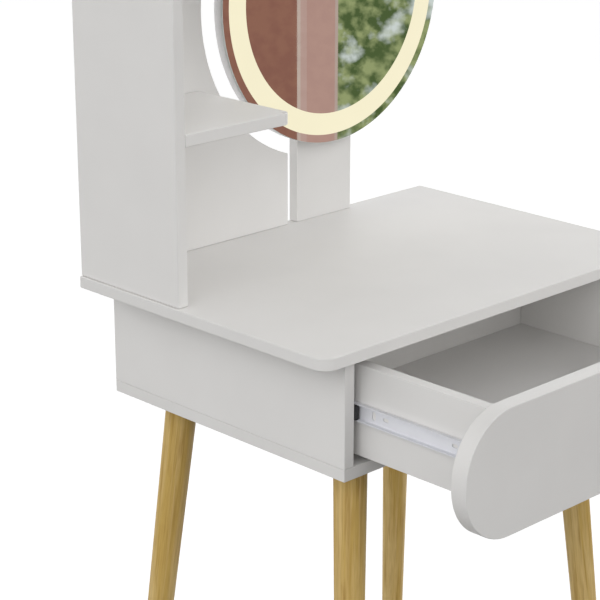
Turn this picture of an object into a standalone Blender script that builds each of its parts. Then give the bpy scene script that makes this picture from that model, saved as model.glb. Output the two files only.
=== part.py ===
"""Vanity table with a round lit mirror, an open side hutch and one wide drawer.

Metres, +Z up, front towards -Y. The origin is on the floor, midway across the width and midway
between the open drawer's face and the table's back edge.
"""
import math

import bmesh
import bpy
from mathutils import Vector

MM = 0.001
GAP = 0.3 * MM          # left between pieces that touch
BOARD = 15 * MM         # laminated board, used almost everywhere
EASE = 1.2 * MM         # eased edges of the boards that are handled
FINE_EASE = 0.8 * MM
CASE_EASE = 0.6 * MM    # where two boards meet flush

# Table top
TOP_WIDTH = 620 * MM
TOP_DEPTH = 428 * MM
TOP_HEIGHT = 750 * MM   # upper face above the floor
TOP_CORNER = 20 * MM    # radius of the two front corners

# Case that holds the drawer
CASE_INSET = 52 * MM    # from each end of the top
CASE_SETBACK = 20 * MM  # from the top's front edge
CASE_HEIGHT = 150 * MM  # sides and bottom together

# Drawer
DRAWER_OPEN = 198 * MM      # how far it stands open at rest
DRAWER_STOP_GAP = 1.5 * MM  # left by the bumpers when it is shut
FACE_THICK = 21 * MM
FACE_INSET = 6 * MM         # from each end of the top
FACE_DROP = 2 * MM          # below the top's underside
FACE_HEIGHT = 149 * MM
FACE_CORNER = 72 * MM
BOX_SIDE_GAP = 13 * MM      # room for a slide on each side
BOX_LENGTH = 350 * MM
BOX_SIDE_HEIGHT = 111 * MM
BOX_SIDE_DROP = 15 * MM     # below the top's underside
FLOOR_RISE = 15 * MM        # groove above the box's lower edge
FLOOR_THICK = 5 * MM
GROOVE_DEPTH = 5 * MM
CAM_RADIUS = 7.5 * MM
CAM_DEPTH = 12 * MM
CAM_SETBACK = 24 * MM
CAM_FROM_TOP = 22 * MM
CAM_FROM_BOTTOM = 38 * MM
CAM_CROSS_HALF = 0.7 * MM      # half width of the driver's cross
CAM_CROSS_DEEP = 2 * MM
BUMPER_RADIUS = 4 * MM

# Ball-bearing slides
SLIDE_LENGTH = 348 * MM
SLIDE_SETBACK = 10 * MM       # case member, from the case's front edge
RUNNER_SETBACK = 1 * MM       # drawer member, from the front of the drawer's box
SLIDE_SHEET = 1.2 * MM
SLIDE_HALF = 17.5 * MM        # half height of the case member
SLIDE_LIP = 4 * MM            # height of the case member's lips
SLIDE_MOUTH = 9 * MM          # lips, from the case's wall
RUNNER_HALF = 10.5 * MM       # half height of the drawer member
RUNNER_TIP = 5.5 * MM         # edges of its flanges, from the case's wall
CAGE_LENGTH = 80 * MM
CAGE_NEAR = 2.4 * MM          # from the case's wall
CAGE_FAR = 7.8 * MM
CAGE_SHEET = 1 * MM
CAGE_HALF = 15.9 * MM
CAGE_INNER_HALF = 10.9 * MM
SLIDE_TRAVEL = 253 * MM
SLOT_LONG = 9 * MM
SLOT_HIGH = 4.5 * MM
CROSS_SLOT_LONG = 6 * MM
CROSS_SLOT_HIGH = 10.5 * MM
CASE_SLOTS = (35 * MM, 160 * MM, 290 * MM)             # centres, from a member's front end
RUNNER_SLOTS = (20 * MM, 57 * MM, 160 * MM, 310 * MM)
CROSS_SLOT = 178.5 * MM

# Legs
LEG_INSET_X = 109.5 * MM    # leg axis at the case's underside, from each end of the top
LEG_FRONT_Y = 66.5 * MM     # the same, from the top's front edge
LEG_REAR_Y = 364.5 * MM
LEG_SPLAY = math.radians(6.8)
LEG_TOP_RADIUS = 20.5 * MM
LEG_FOOT_RADIUS = 14 * MM
LEG_SIDES = 32
PLATE_SIZE = 56 * MM
PLATE_THICK = 2.5 * MM
PLATE_CORNER = 6 * MM
BOLT_RADIUS = 4 * MM
BOLT_IN_LEG = 32 * MM
BOLT_IN_CASE = 9 * MM
GLIDE_RADIUS = 11 * MM
GLIDE_THICK = 4 * MM
BLANK_SPARE = 10 * MM       # the turned leg before it is trimmed level

# Hutch on the left
HUTCH_INSET = 3 * MM
HUTCH_DEPTH = 183 * MM
HUTCH_HEIGHT = 400 * MM
SHELF_RISE = 206.5 * MM     # upper face of the middle shelf above the table top
SHELF_END = 186 * MM        # free end of the shelves, from the top's left end
SHELF_CORNER = 10 * MM
BACK_END = 342 * MM         # right end of the hutch's back, from the top's left end

# Mirror
MIRROR_X = 410 * MM         # centre, from the top's left end
MIRROR_RISE = 304.5 * MM    # centre above the table top
MIRROR_RADIUS = 198 * MM
CUTOUT_MARGIN = 19 * MM     # round the mirror, in the hutch's back
POST_WIDTH = 102 * MM
POST_HEIGHT = 395 * MM
GLASS_THICK = 4 * MM
HOUSING_DEPTH = 13.4 * MM
HOUSING_SHEET = 1.5 * MM
HOUSING_RADIUS = 197.2 * MM
RING_INNER = 158 * MM       # lit ring
RING_OUTER = 187 * MM
STRIP_INNER = 168 * MM      # light strip behind it
STRIP_OUTER = 178 * MM
MIRROR_SIDES = 96
INLET_OFFSET = (84 * MM, -112 * MM)
INLET_RADIUS = 5.7 * MM
INLET_BEHIND = 4 * MM         # out of the housing's back,
INLET_INSIDE = 7 * MM         # and into it
DIFFUSER_THICK = 2 * MM
STRIP_THICK = 1.6 * MM
DRIVER_SIZE = (90 * MM, 9 * MM, 32 * MM)
TOUCH_DROP = 132 * MM         # touch sensor, below the mirror's centre
TOUCH_RADIUS = 12 * MM
TOUCH_THICK = 2.5 * MM

# Screws
SCREW_RADIUS = 2 * MM       # through the post into the mirror
HEAD_RADIUS = 4 * MM
HEAD_SINK = 3 * MM
BOSS_RADIUS = 5.5 * MM
BOSS_DEPTH = 8 * MM
BOSS_OFFSET = (30 * MM, 60 * MM)
STANDING_LENGTH = 45 * MM   # up through the table top
STANDING_RADIUS = 2.5 * MM
STANDING_HEAD = 4.5 * MM
STANDING_HEAD_HIGH = 4 * MM
STANDING_FROM_END = 40 * MM    # from the front and rear ends of the hutch's side
POST_SCREW_SPREAD = 30 * MM    # either side of the post's middle

# Places worked out from the sizes above
LEFT = -TOP_WIDTH / 2
TOP_FRONT = (DRAWER_OPEN + FACE_THICK + DRAWER_STOP_GAP - CASE_SETBACK - TOP_DEPTH) / 2
TOP_BACK = TOP_FRONT + TOP_DEPTH
TOP_UNDER = TOP_HEIGHT - BOARD
CASE_FRONT = TOP_FRONT + CASE_SETBACK
CASE_UNDER = TOP_UNDER - CASE_HEIGHT
CASE_FLOOR = CASE_UNDER + BOARD
CASE_HALF = TOP_WIDTH / 2 - CASE_INSET
BAY_HALF = CASE_HALF - BOARD
BOX_HALF = BAY_HALF - BOX_SIDE_GAP
FACE_BACK = CASE_FRONT - DRAWER_STOP_GAP - DRAWER_OPEN
BOX_FRONT = FACE_BACK + GAP
BOX_BACK = BOX_FRONT + BOX_LENGTH
BOX_TOP = TOP_UNDER - BOX_SIDE_DROP
BOX_BOTTOM = BOX_TOP - BOX_SIDE_HEIGHT
FLOOR_TOP = BOX_BOTTOM + FLOOR_RISE + FLOOR_THICK
SLIDE_Z = (BOX_TOP + BOX_BOTTOM) / 2
BACK_FACE = TOP_BACK - BOARD          # front face of the boards along the back
ON_TOP = TOP_HEIGHT + GAP
MIRROR_CENTRE = Vector((LEFT + MIRROR_X, BACK_FACE, TOP_HEIGHT + MIRROR_RISE))
HOUSING_BACK = BACK_FACE - GAP
HOUSING_FRONT = HOUSING_BACK - HOUSING_DEPTH
GLASS_BACK = HOUSING_FRONT - GAP

SIDES = {"left": -1, "right": 1}


def empty_scene():
    for item in list(bpy.data.objects):
        bpy.data.objects.remove(item, do_unlink=True)
    for group in list(bpy.data.collections):
        bpy.data.collections.remove(group)


def new_collection(name):
    group = bpy.data.collections.new(name)
    bpy.context.scene.collection.children.link(group)
    return group


def new_material(name, colour, roughness, metallic=0.0):
    material = bpy.data.materials.new(name)
    material.use_nodes = True
    shader = material.node_tree.nodes["Principled BSDF"]
    shader.inputs["Base Color"].default_value = (*colour, 1)
    shader.inputs["Roughness"].default_value = roughness
    shader.inputs["Metallic"].default_value = metallic
    return material


empty_scene()
PARTS = new_collection("vanity_table")
CUTTERS = new_collection("cutters")
LAMINATE = new_material("laminate", (0.60, 0.59, 0.57), 0.55)
FACE_LAMINATE = new_material("face_laminate", (0.58, 0.57, 0.55), 0.5)
LEG_WOOD = new_material("leg_wood", (0.42, 0.29, 0.12), 0.5)
STEEL = new_material("zinc_steel", (0.60, 0.61, 0.64), 0.3, 1.0)
DARK_STEEL = new_material("screw_steel", (0.25, 0.25, 0.26), 0.35, 1.0)
ALUMINIUM = new_material("aluminium", (0.62, 0.61, 0.62), 0.35, 1.0)
MIRROR = new_material("mirror", (0.9, 0.9, 0.9), 0.03, 1.0)
FROSTED = new_material("frosted", (0.93, 0.87, 0.63), 0.4)
PLASTIC = new_material("black_plastic", (0.02, 0.02, 0.02), 0.4)
NYLON = new_material("white_nylon", (0.7, 0.7, 0.68), 0.5)
FELT = new_material("felt", (0.12, 0.1, 0.09), 0.9)


def add_object(name, mesh_builder, centre, material=None, group=PARTS):
    """An object whose origin is at centre; mesh_builder fills a bmesh round that origin."""
    mesh = bpy.data.meshes.new(name)
    work = bmesh.new()
    mesh_builder(work)
    bmesh.ops.recalc_face_normals(work, faces=work.faces)
    work.to_mesh(mesh)
    work.free()
    thing = bpy.data.objects.new(name, mesh)
    thing.location = centre
    if material:
        mesh.materials.append(material)
    if group is CUTTERS:
        thing.hide_render = True
        thing.display_type = "WIRE"
    group.objects.link(thing)
    return thing


def fill_box(work, size):
    made = bmesh.ops.create_cube(work, size=1)
    bmesh.ops.scale(work, vec=size, verts=made["verts"])


def round_corners(work, axis, keep, radius, segments):
    """Bevels the edges that run along axis and whose middle passes keep(x, y, z)."""
    def wanted(edge):
        run = (edge.verts[1].co - edge.verts[0].co).normalized()
        middle = (edge.verts[0].co + edge.verts[1].co) / 2
        return abs(run[axis]) > 0.99 and keep(*middle)

    corners = [edge for edge in work.edges if wanted(edge)]
    bmesh.ops.bevel(work, geom=corners, offset=radius, segments=segments, profile=0.5, affect="EDGES")


def box(name, low, high, material=LAMINATE, rounded=None, group=PARTS):
    """A board from its lowest to its highest corner. rounded is (axis, keep, radius, segments)."""
    low, high = Vector(low), Vector(high)

    def build(work):
        fill_box(work, high - low)
        if rounded:
            round_corners(work, *rounded)

    return add_object(name, build, (low + high) / 2, material, group)


def cylinder(name, start, end, radius, material=None, group=PARTS, end_radius=None, sides=24):
    """A round bar, or a cone, from start to end."""
    start, end = Vector(start), Vector(end)
    run = end - start
    turn = run.to_track_quat("Z", "Y").to_matrix().to_4x4()

    def build(work):
        bmesh.ops.create_cone(
            work, cap_ends=True, segments=sides, radius1=radius,
            radius2=radius if end_radius is None else end_radius, depth=run.length, matrix=turn,
        )

    return add_object(name, build, (start + end) / 2, material, group)


def boolean(thing, tool, operation="DIFFERENCE"):
    cut = thing.modifiers.new(operation.lower(), "BOOLEAN")
    cut.operation = operation
    cut.object = tool
    return cut


def drill(thing, start, end, radius, sides=24):
    """A round hole through thing from start to end."""
    tool = cylinder(f"cut_{len(CUTTERS.objects)}", start, end, radius, group=CUTTERS, sides=sides)
    boolean(thing, tool)


def pocket(thing, low, high, rounded=None):
    """A box-shaped cut in thing."""
    tool = box(f"cut_{len(CUTTERS.objects)}", low, high, None, rounded, CUTTERS)
    boolean(thing, tool)


def ease_edges(thing, width=EASE, segments=2):
    bevel = thing.modifiers.new("eased edges", "BEVEL")
    bevel.width = width
    bevel.segments = segments
    bevel.limit_method = "ANGLE"
    bevel.angle_limit = math.radians(40)
    bevel.use_clamp_overlap = False


def smooth_round(thing):
    thing.data.shade_smooth()
    thing.data.set_sharp_from_angle(angle=math.radians(40))


def make_top():
    top = box(
        "tabletop", (LEFT, TOP_FRONT, TOP_UNDER), (-LEFT, TOP_BACK, TOP_HEIGHT),
        rounded=(2, lambda x, y, z: y < 0, TOP_CORNER, 12),
    )
    ease_edges(top)
    return top


def make_case():
    side_top = TOP_UNDER - GAP
    side_bottom = CASE_FLOOR + GAP
    for side, sign in SIDES.items():
        edges = sorted((sign * BAY_HALF, sign * CASE_HALF))
        panel = box(
            f"case_side_{side}", (edges[0], CASE_FRONT, side_bottom), (edges[1], TOP_BACK, side_top),
        )
        ease_edges(panel, CASE_EASE, 1)
    back = box(
        "case_back", (-BAY_HALF + GAP, BACK_FACE, side_bottom), (BAY_HALF - GAP, TOP_BACK, side_top),
    )
    ease_edges(back, CASE_EASE, 1)
    bottom = box(
        "case_bottom", (-CASE_HALF, CASE_FRONT, CASE_UNDER), (CASE_HALF, TOP_BACK, CASE_FLOOR),
    )
    ease_edges(bottom, CASE_EASE, 1)
    return bottom


def make_leg(corner, sign_x, rear, case_bottom):
    """A splayed, tapered leg under one corner, with its plate, hanger bolt and glide."""
    name = f"{'rear' if rear else 'front'}_{corner}"
    out_y = 1 if rear else -1
    at_y = TOP_FRONT + (LEG_REAR_Y if rear else LEG_FRONT_Y)
    head = Vector((sign_x * (TOP_WIDTH / 2 - LEG_INSET_X), at_y, CASE_UNDER))
    lean = math.tan(LEG_SPLAY) / math.sqrt(2)
    down = Vector((sign_x * lean, out_y * lean, -1))

    plate_top = CASE_UNDER - GAP
    plate_bottom = plate_top - PLATE_THICK
    half = Vector((PLATE_SIZE / 2, PLATE_SIZE / 2, 0))
    plate = box(
        f"leg_plate_{name}", Vector((head.x, head.y, plate_bottom)) - half,
        Vector((head.x, head.y, plate_top)) + half, STEEL,
        rounded=(2, lambda x, y, z: True, PLATE_CORNER, 3),
    )
    bolt_top = head - down * BOLT_IN_CASE
    bolt_end = head + down * BOLT_IN_LEG
    drill(plate, bolt_top - down * BOARD, bolt_end, BOLT_RADIUS + GAP, 12)
    drill(case_bottom, bolt_top - down * GAP, head + down * BOARD, BOLT_RADIUS + GAP, 12)
    cylinder(f"leg_bolt_{name}", bolt_top, bolt_end, BOLT_RADIUS, DARK_STEEL, sides=12)

    # The turned blank runs past both ends and is trimmed level with the plate and the glide.
    leg_top = plate_bottom - GAP
    leg_bottom = GLIDE_THICK + GAP
    spare = BLANK_SPARE
    taper = (LEG_TOP_RADIUS - LEG_FOOT_RADIUS) / CASE_UNDER
    leg = cylinder(
        f"leg_{name}", head + down * (CASE_UNDER + spare), head - down * spare,
        LEG_FOOT_RADIUS - taper * spare, LEG_WOOD, end_radius=LEG_TOP_RADIUS + taper * spare,
        sides=LEG_SIDES,
    )
    reach = Vector((CASE_UNDER, CASE_UNDER, 0)) / 4
    middle = head + down * (CASE_UNDER / 2)
    level = box(
        f"trim_{name}", Vector((middle.x, middle.y, leg_bottom)) - reach,
        Vector((middle.x, middle.y, leg_top)) + reach, None, group=CUTTERS,
    )
    boolean(leg, level, "INTERSECT")
    drill(leg, head - down * spare, bolt_end + down * BOLT_RADIUS, BOLT_RADIUS + GAP, 12)
    smooth_round(leg)

    foot = head + down * (CASE_UNDER - GLIDE_THICK)
    cylinder(
        f"foot_glide_{name}", (foot.x, foot.y, 0), (foot.x, foot.y, GLIDE_THICK), GLIDE_RADIUS, FELT,
    )


def make_hutch():
    front = TOP_BACK - HUTCH_DEPTH
    outer = LEFT + HUTCH_INSET
    inner = outer + BOARD
    upper = ON_TOP + HUTCH_HEIGHT
    side = box("hutch_side_left", (outer, front, ON_TOP), (inner, TOP_BACK, upper))
    ease_edges(side)

    back = box("hutch_back", (inner + GAP, BACK_FACE, ON_TOP), (LEFT + BACK_END, TOP_BACK, upper))
    reach = Vector((0, 2 * BOARD, 0))
    cutter = cylinder(
        "cut_mirror_arc", MIRROR_CENTRE - reach, MIRROR_CENTRE + reach,
        MIRROR_RADIUS + CUTOUT_MARGIN, group=CUTTERS, sides=144,
    )
    boolean(back, cutter)
    ease_edges(back, FINE_EASE, 1)

    free_corner = (2, lambda x, y, z: x > 0 and y < 0, SHELF_CORNER, 8)
    shelf_top = TOP_HEIGHT + SHELF_RISE
    middle = box(
        "hutch_shelf_middle", (inner + GAP, front, shelf_top - BOARD),
        (LEFT + SHELF_END, BACK_FACE - GAP, shelf_top), rounded=free_corner,
    )
    ease_edges(middle)
    top = box(
        "hutch_shelf_top", (outer, front, upper + GAP), (LEFT + SHELF_END, TOP_BACK, upper + GAP + BOARD),
        rounded=free_corner,
    )
    ease_edges(top)
    return side


def make_post():
    middle = LEFT + MIRROR_X
    post = box(
        "mirror_post", (middle - POST_WIDTH / 2, BACK_FACE, ON_TOP),
        (middle + POST_WIDTH / 2, TOP_BACK, ON_TOP + POST_HEIGHT),
    )
    ease_edges(post, FINE_EASE, 1)
    return post


def fasten_from_below(top, board, number, x, y):
    """A screw up through the table top into the end of a board that stands on it."""
    base = Vector((x, y, TOP_UNDER + GAP))
    up = Vector((0, 0, 1))
    head_top = base + up * STANDING_HEAD_HIGH
    tip = base + up * STANDING_LENGTH
    screw = cylinder(
        f"standing_screw_{number}", head_top - up * MM, tip, STANDING_RADIUS, DARK_STEEL, sides=12,
    )
    head = cylinder(
        f"standing_head_{number}", base, head_top, STANDING_HEAD, group=CUTTERS, sides=16,
    )
    boolean(screw, head, "UNION")
    drill(top, base - up * BOARD, head_top + up * GAP, STANDING_HEAD + 2 * GAP, 16)
    drill(top, base, base + up * (2 * BOARD), STANDING_RADIUS + GAP, 12)
    drill(board, base, tip + up * MM, STANDING_RADIUS + GAP, 12)


def make_housing(post):
    """The mirror's dished back, with four bosses that its screws hold to the post."""
    back = Vector((MIRROR_CENTRE.x, HOUSING_BACK, MIRROR_CENTRE.z))
    front = Vector((MIRROR_CENTRE.x, HOUSING_FRONT, MIRROR_CENTRE.z))
    housing = cylinder("mirror_housing", back, front, HOUSING_RADIUS, ALUMINIUM, sides=MIRROR_SIDES)
    floor = back - Vector((0, HOUSING_SHEET, 0))
    drill(
        housing, floor, front - Vector((0, BOARD, 0)), HOUSING_RADIUS - HOUSING_SHEET, MIRROR_SIDES,
    )
    boss_front = floor.y - BOSS_DEPTH
    places = [(across, up) for across in (-1, 1) for up in (-1, 1)]
    for number, (across, up) in enumerate(places, start=1):
        x = MIRROR_CENTRE.x + across * BOSS_OFFSET[0]
        z = MIRROR_CENTRE.z + up * BOSS_OFFSET[1]
        boss = cylinder(
            f"boss_{number}", (x, floor.y + HOUSING_SHEET / 2, z), (x, boss_front, z), BOSS_RADIUS,
            group=CUTTERS, sides=16,
        )
        boolean(housing, boss, "UNION")
        drill(housing, (x, TOP_BACK, z), (x, boss_front - BOARD, z), SCREW_RADIUS + GAP, 12)
        drill(post, (x, TOP_BACK + BOARD, z), (x, HOUSING_BACK - BOARD, z), SCREW_RADIUS + GAP, 12)
        drill(post, (x, TOP_BACK + BOARD, z), (x, TOP_BACK - HEAD_SINK, z), HEAD_RADIUS + GAP, 16)
        make_mirror_screw(number, x, z, boss_front)
    inlet = MIRROR_CENTRE + Vector((INLET_OFFSET[0], 0, INLET_OFFSET[1]))
    drill(housing, (inlet.x, TOP_BACK, inlet.z), (inlet.x, boss_front, inlet.z), INLET_RADIUS + GAP)
    smooth_round(housing)
    make_inlet(inlet, floor.y)


def make_mirror_screw(number, x, z, boss_front):
    head_back = TOP_BACK - GAP
    screw = cylinder(
        f"mirror_screw_{number}", (x, head_back - MM, z), (x, boss_front + MM, z), SCREW_RADIUS,
        DARK_STEEL, sides=12,
    )
    head = cylinder(
        f"mirror_head_{number}", (x, head_back, z), (x, TOP_BACK - HEAD_SINK + GAP, z), HEAD_RADIUS,
        group=CUTTERS, sides=16,
    )
    boolean(screw, head, "UNION")


def make_inlet(at, floor):
    """A round low-voltage socket through the housing's back."""
    inlet = cylinder(
        "power_inlet", (at.x, floor + INLET_BEHIND, at.z), (at.x, floor - INLET_INSIDE, at.z),
        INLET_RADIUS, PLASTIC,
    )
    throat = floor - INLET_INSIDE / 2
    drill(inlet, (at.x, floor + BOARD, at.z), (at.x, throat, at.z), INLET_RADIUS / 2, 16)
    smooth_round(inlet)


def ring(name, outer, inner, front, depth, material):
    """A flat ring on the mirror's axis; front is its face towards -Y."""
    centre = Vector((MIRROR_CENTRE.x, 0, MIRROR_CENTRE.z))
    face = centre + Vector((0, front, 0))
    rear = face + Vector((0, depth, 0))
    made = cylinder(name, rear, face, outer, material, sides=MIRROR_SIDES)
    spare = Vector((0, depth, 0))
    drill(made, rear + spare, face - spare, inner, MIRROR_SIDES)
    smooth_round(made)
    return made


def make_mirror():
    centre = Vector((MIRROR_CENTRE.x, 0, MIRROR_CENTRE.z))
    glass = cylinder(
        "mirror_glass", centre + Vector((0, GLASS_BACK, 0)),
        centre + Vector((0, GLASS_BACK - GLASS_THICK, 0)), MIRROR_RADIUS, MIRROR, sides=MIRROR_SIDES,
    )
    ease_edges(glass, FINE_EASE, 1)
    smooth_round(glass)
    behind = GLASS_BACK + GAP
    ring("light_diffuser", RING_OUTER, RING_INNER, behind, DIFFUSER_THICK, FROSTED)
    floor = HOUSING_BACK - HOUSING_SHEET - GAP
    ring("led_strip", STRIP_OUTER, STRIP_INNER, floor - STRIP_THICK, STRIP_THICK, NYLON)
    wide, deep, high = DRIVER_SIZE
    driver = box(
        "led_driver", (centre.x - wide / 2, floor - deep, centre.z - high / 2),
        (centre.x + wide / 2, floor, centre.z + high / 2), PLASTIC,
    )
    ease_edges(driver, EASE, 1)
    touch = centre - Vector((0, 0, TOUCH_DROP))
    cylinder(
        "touch_sensor", touch + Vector((0, behind + TOUCH_THICK, 0)), touch + Vector((0, behind, 0)),
        TOUCH_RADIUS, PLASTIC,
    )


def make_drawer():
    low = (LEFT + FACE_INSET, FACE_BACK - FACE_THICK, TOP_UNDER - FACE_DROP - FACE_HEIGHT)
    high = (-LEFT - FACE_INSET, FACE_BACK, TOP_UNDER - FACE_DROP)
    face = box("drawer_front", low, high, FACE_LAMINATE, (1, lambda x, y, z: True, FACE_CORNER, 24))
    ease_edges(face)

    inner_half = BOX_HALF - BOARD
    groove_low = FLOOR_TOP - FLOOR_THICK - GAP
    groove_high = FLOOR_TOP + GAP
    groove_end = inner_half + GROOVE_DEPTH
    back_front = BOX_BACK - BOARD
    for side, sign in SIDES.items():
        edges = sorted((sign * BOX_HALF, sign * inner_half))
        panel = box(
            f"drawer_side_{side}", (edges[0], BOX_FRONT, BOX_BOTTOM), (edges[1], BOX_BACK, BOX_TOP),
        )
        ease_edges(panel, FINE_EASE, 1)
        cut = sorted((sign * (inner_half - BOARD), sign * groove_end))
        pocket(panel, (cut[0], BOX_FRONT - BOARD, groove_low), (cut[1], BOX_BACK + BOARD, groove_high))
        make_cams(panel, side, sign, inner_half)
    back = box(
        "drawer_back", (-inner_half + GAP, back_front, BOX_BOTTOM), (inner_half - GAP, BOX_BACK, BOX_TOP),
    )
    ease_edges(back, FINE_EASE, 1)
    pocket(
        back, (-BOX_HALF, back_front - BOARD, groove_low), (BOX_HALF, back_front + GROOVE_DEPTH, groove_high),
    )
    box(
        "drawer_bottom", (-groove_end + GAP, BOX_FRONT + GAP, FLOOR_TOP - FLOOR_THICK),
        (groove_end - GAP, back_front + GROOVE_DEPTH - GAP, FLOOR_TOP),
    )
    for side, sign in SIDES.items():
        x = sign * (CASE_HALF - BOARD / 2)
        cylinder(
            f"drawer_bumper_{side}", (x, FACE_BACK + DRAWER_STOP_GAP - GAP, BOX_TOP),
            (x, FACE_BACK + GAP, BOX_TOP), BUMPER_RADIUS, NYLON, sides=16,
        )


def make_cams(panel, side, sign, inner_half):
    """Two cam locks that pull the drawer's face against the side panel."""
    heights = (BOX_TOP - CAM_FROM_TOP, BOX_BOTTOM + CAM_FROM_BOTTOM)
    for number, z in enumerate(heights, start=1):
        y = BOX_FRONT + CAM_SETBACK
        deep = sign * (inner_half + CAM_DEPTH)
        drill(panel, (sign * (inner_half - BOARD), y, z), (deep, y, z), CAM_RADIUS)
        cam = cylinder(
            f"drawer_cam_{side}_{number}", (deep - sign * GAP, y, z),
            (sign * (inner_half + GAP), y, z), CAM_RADIUS - GAP, STEEL, sides=20,
        )
        deep_half, thin, arm = CAM_CROSS_DEEP, CAM_CROSS_HALF, CAM_RADIUS * 0.55
        for half in (Vector((deep_half, arm, thin)), Vector((deep_half, thin, arm))):
            centre = Vector((sign * inner_half, y, z))
            pocket(cam, centre - half, centre + half)


def channel(name, corners, front, length, sign):
    """A bent steel section: corners are (distance out from the bay's wall, height) of its middle line."""
    def build(work):
        points = [
            work.verts.new((-sign * across, -length / 2, up)) for across, up in corners
        ]
        edges = [work.edges.new(pair) for pair in zip(points, points[1:])]
        grown = bmesh.ops.extrude_edge_only(work, edges=edges)["geom"]
        moved = [item for item in grown if isinstance(item, bmesh.types.BMVert)]
        bmesh.ops.translate(work, vec=(0, length, 0), verts=moved)

    made = add_object(name, build, (sign * BAY_HALF, front + length / 2, SLIDE_Z), STEEL)
    shell = made.modifiers.new("sheet", "SOLIDIFY")
    shell.thickness = SLIDE_SHEET
    shell.offset = 0
    shell.use_even_offset = True
    return made


def slot(member, x, y, long_y, long_z):
    """A round-ended slot through a slide's upright web."""
    half = Vector((4 * MM, long_y / 2, long_z / 2))
    centre = Vector((x, y, SLIDE_Z))
    pocket(
        member, centre - half, centre + half,
        (0, lambda px, py, pz: True, min(long_y, long_z) * 0.45, 3),
    )


def make_slides():
    sheet = SLIDE_SHEET / 2
    wall = GAP + sheet
    flange = SLIDE_HALF - sheet
    lip = flange - SLIDE_LIP
    mouth = SLIDE_MOUTH
    web = BOX_SIDE_GAP - GAP - sheet
    rail = RUNNER_HALF - sheet
    outer_front = CASE_FRONT + SLIDE_SETBACK
    inner_front = BOX_FRONT + RUNNER_SETBACK
    for side, sign in SIDES.items():
        outer = channel(
            f"slide_outer_{side}",
            [(mouth, lip), (mouth, flange), (wall, flange),
             (wall, -flange), (mouth, -flange), (mouth, -lip)],
            outer_front, SLIDE_LENGTH, sign,
        )
        for along in CASE_SLOTS:
            slot(outer, sign * (BAY_HALF - wall), outer_front + along, SLOT_LONG, SLOT_HIGH)
        inner = channel(
            f"slide_inner_{side}",
            [(RUNNER_TIP, rail), (web, rail), (web, -rail), (RUNNER_TIP, -rail)],
            inner_front, SLIDE_LENGTH, sign,
        )
        web_x = sign * (BAY_HALF - web)
        for along in RUNNER_SLOTS:
            slot(inner, web_x, inner_front + along, SLOT_LONG, SLOT_HIGH)
        slot(inner, web_x, inner_front + CROSS_SLOT, CROSS_SLOT_LONG, CROSS_SLOT_HIGH)
        make_cage(side, sign, outer_front, inner_front + SLIDE_LENGTH)


def make_cage(side, sign, outer_front, inner_back):
    """The ball cage runs between both members, at half the drawer's speed."""
    start = (outer_front + inner_back - CAGE_LENGTH) / 2
    spare = SLIDE_TRAVEL - DRAWER_OPEN
    near, far = sorted((sign * (BAY_HALF - CAGE_NEAR), sign * (BAY_HALF - CAGE_FAR)))
    cage = box(
        f"slide_cage_{side}", (near, start, SLIDE_Z - CAGE_HALF),
        (far, start + CAGE_LENGTH, SLIDE_Z + CAGE_HALF), STEEL,
    )
    cut = sorted((sign * (BAY_HALF - CAGE_NEAR - CAGE_SHEET), sign * (BAY_HALF - BOARD)))
    pocket(
        cage, (cut[0], start - spare, SLIDE_Z - CAGE_INNER_HALF),
        (cut[1], start + CAGE_LENGTH + spare, SLIDE_Z + CAGE_INNER_HALF),
    )


def build():
    top = make_top()
    case_bottom = make_case()
    for side, sign in SIDES.items():
        for rear in (False, True):
            make_leg(side, sign, rear, case_bottom)
    hutch_side = make_hutch()
    post = make_post()
    hutch_x = LEFT + HUTCH_INSET + BOARD / 2
    post_y = TOP_BACK - BOARD / 2
    fasten_from_below(top, hutch_side, 1, hutch_x, TOP_BACK - HUTCH_DEPTH + STANDING_FROM_END)
    fasten_from_below(top, hutch_side, 2, hutch_x, TOP_BACK - STANDING_FROM_END)
    fasten_from_below(top, post, 3, LEFT + MIRROR_X - POST_SCREW_SPREAD, post_y)
    fasten_from_below(top, post, 4, LEFT + MIRROR_X + POST_SCREW_SPREAD, post_y)
    make_housing(post)
    make_mirror()
    make_drawer()
    make_slides()


build()
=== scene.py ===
"""The looks of the vanity table: finer meshes, node materials and a plain studio."""
import math

import bmesh
import bpy
from mathutils import Matrix, Vector


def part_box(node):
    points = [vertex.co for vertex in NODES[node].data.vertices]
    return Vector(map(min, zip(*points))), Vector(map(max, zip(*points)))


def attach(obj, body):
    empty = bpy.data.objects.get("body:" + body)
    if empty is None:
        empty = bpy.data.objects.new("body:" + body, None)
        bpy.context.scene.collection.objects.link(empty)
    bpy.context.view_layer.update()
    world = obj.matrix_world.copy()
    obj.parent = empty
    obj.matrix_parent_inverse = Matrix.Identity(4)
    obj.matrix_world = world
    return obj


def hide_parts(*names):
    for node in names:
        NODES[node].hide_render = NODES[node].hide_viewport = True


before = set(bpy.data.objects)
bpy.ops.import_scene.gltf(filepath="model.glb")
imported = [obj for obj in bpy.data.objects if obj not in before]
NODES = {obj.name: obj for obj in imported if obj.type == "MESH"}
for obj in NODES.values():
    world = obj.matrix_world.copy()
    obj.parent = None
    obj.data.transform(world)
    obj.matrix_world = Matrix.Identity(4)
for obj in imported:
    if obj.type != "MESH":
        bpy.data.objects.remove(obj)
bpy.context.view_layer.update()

MM = 0.001
SIDES = {"left": -1, "right": 1}
CORNERS = ("front_left", "front_right", "rear_left", "rear_right")
X, Y, Z = 0, 1, 2
UP = Vector((0, 0, 1))

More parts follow.
